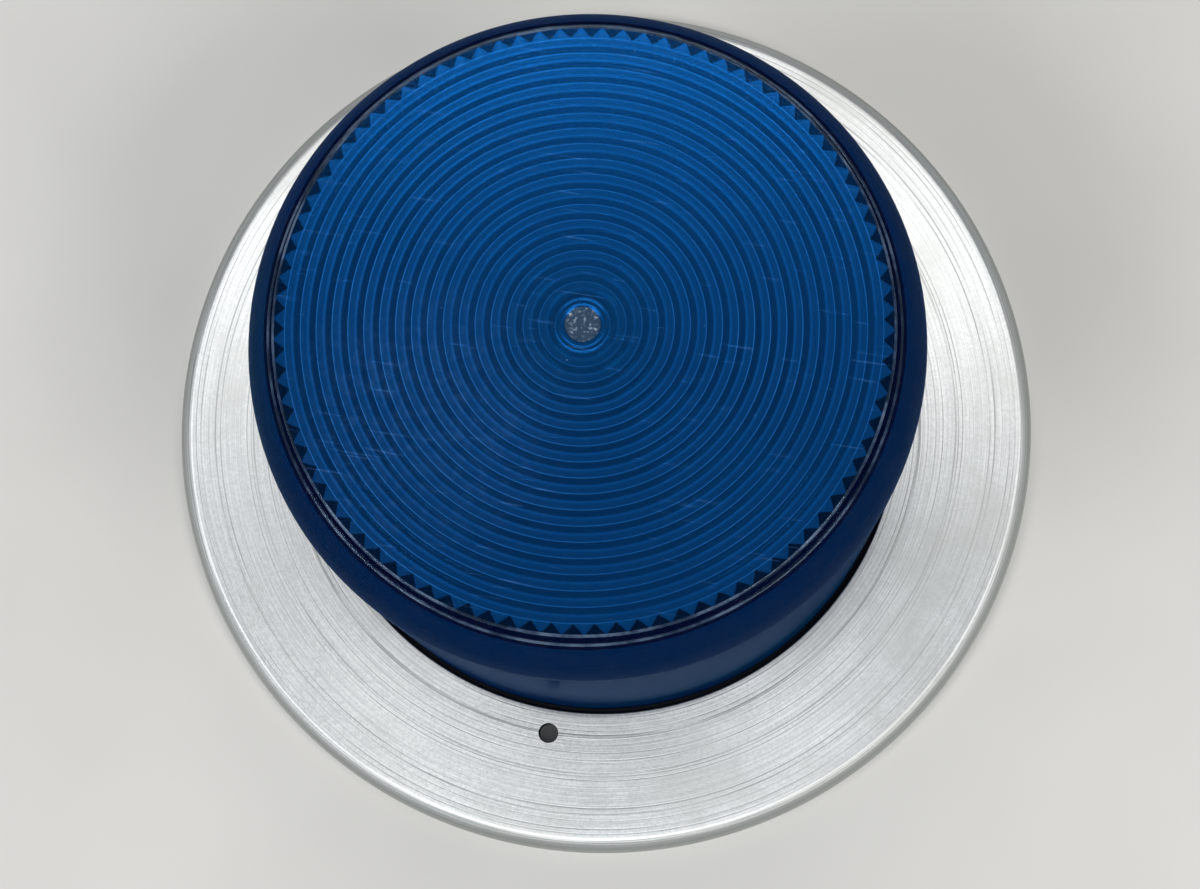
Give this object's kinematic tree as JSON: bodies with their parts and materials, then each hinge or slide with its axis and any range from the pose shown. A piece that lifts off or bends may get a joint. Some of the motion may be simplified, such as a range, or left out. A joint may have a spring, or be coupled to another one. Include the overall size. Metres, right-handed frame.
{
  "type": "horn strobe",
  "caption": "Round alarm strobe: deep blue ringed lens through a turned aluminium trim flange, with lamp, reflector, horn sounder, circuit board and settings switches inside.",
  "frame": {"origin": "on the lens axis, at the rear plane that meets the wall", "axes": "+Z along the lens axis, out of the wall; -Y towards one flange screw hole"},
  "size_m": [0.22, 0.22, 0.1147],
  "materials": {
    "turned_aluminium": "satin, turned in fine concentric lines",
    "blue_lens": "clear deep blue, gloss",
    "black_rubber": "matt",
    "black_steel": "satin black paint",
    "black_plastic": "fine matt",
    "black_sleeve": "shrink sleeve",
    "white_plastic": "fine matt",
    "red_plastic": "gloss",
    "trimmer_blue": "gloss",
    "terminal_green": "fine matt",
    "board_green": "solder mask, satin",
    "wire_red": "wire insulation",
    "ceramic_white": "fired, matt",
    "clear_glass": "clear",
    "brass": "bright",
    "copper": "enamelled copper wire",
    "steel": "zinc plated",
    "ferrite": "dark ferrite",
    "plain_aluminium": "bright sheet"
  },
  "bodies": {
    "housing": {"base_plate": "black_steel", "cable_bushing": "black_rubber", "lens": "blue_lens", "lens_gasket": "black_rubber", "trim_flange": "turned_aluminium", "horn_housing": "black_plastic", "horn_diaphragm": "brass", "piezo_disc": "ceramic_white", "horn_clamp_ring": "steel", "horn_screws": "steel", "horn_leads": "wire_red", "standoffs": "steel", "circuit_board": "board_green", "board_screws": "steel", "storage_capacitor": "black_sleeve", "capacitor_saddle": "white_plastic", "transformer_core": "ferrite", "transformer_winding": "copper", "trigger_coil": "red_plastic", "switching_transistor": "black_plastic", "heat_sink": "plain_aluminium", "driver_chip": "black_plastic", "diodes": "black_plastic", "terminal_block": "terminal_green", "terminal_screws": "steel", "candela_switch": "black_plastic", "volume_trimmer": "trimmer_blue", "tone_switch": "red_plastic", "lamp_mast": "white_plastic", "lamp_base": "ceramic_white", "lamp_leads": "wire_red", "flash_tube": "clear_glass", "tube_electrodes": "steel", "trigger_wire": "copper", "reflector": "plain_aluminium", "reflector_posts": "white_plastic", "reflector_screws": "steel"},
    "slider": {"candela_slider": "white_plastic"},
    "rotor": {"volume_rotor": "white_plastic"},
    "lever_1": {"tone_lever_1": "white_plastic"},
    "lever_2": {"tone_lever_2": "white_plastic"},
    "lever_3": {"tone_lever_3": "white_plastic"}
  },
  "joints": [
    {"name": "candela_slide", "type": "slide", "parent": "housing", "child": "slider", "axis": [1, 0, 0], "range_m": [0, 0.006]},
    {"name": "volume_turn", "type": "hinge", "parent": "housing", "child": "rotor", "pos_m": [-0.033, -0.033, 0.0262], "axis": [0, 0, 1], "range_deg": [-135, 135]},
    {"name": "tone_slide_1", "type": "slide", "parent": "housing", "child": "lever_1", "axis": [0, 1, 0], "range_m": [0, 0.0022]},
    {"name": "tone_slide_2", "type": "slide", "parent": "housing", "child": "lever_2", "axis": [0, 1, 0], "range_m": [0, 0.0022]},
    {"name": "tone_slide_3", "type": "slide", "parent": "housing", "child": "lever_3", "axis": [0, 1, 0], "range_m": [0, 0.0022]}
  ]
}
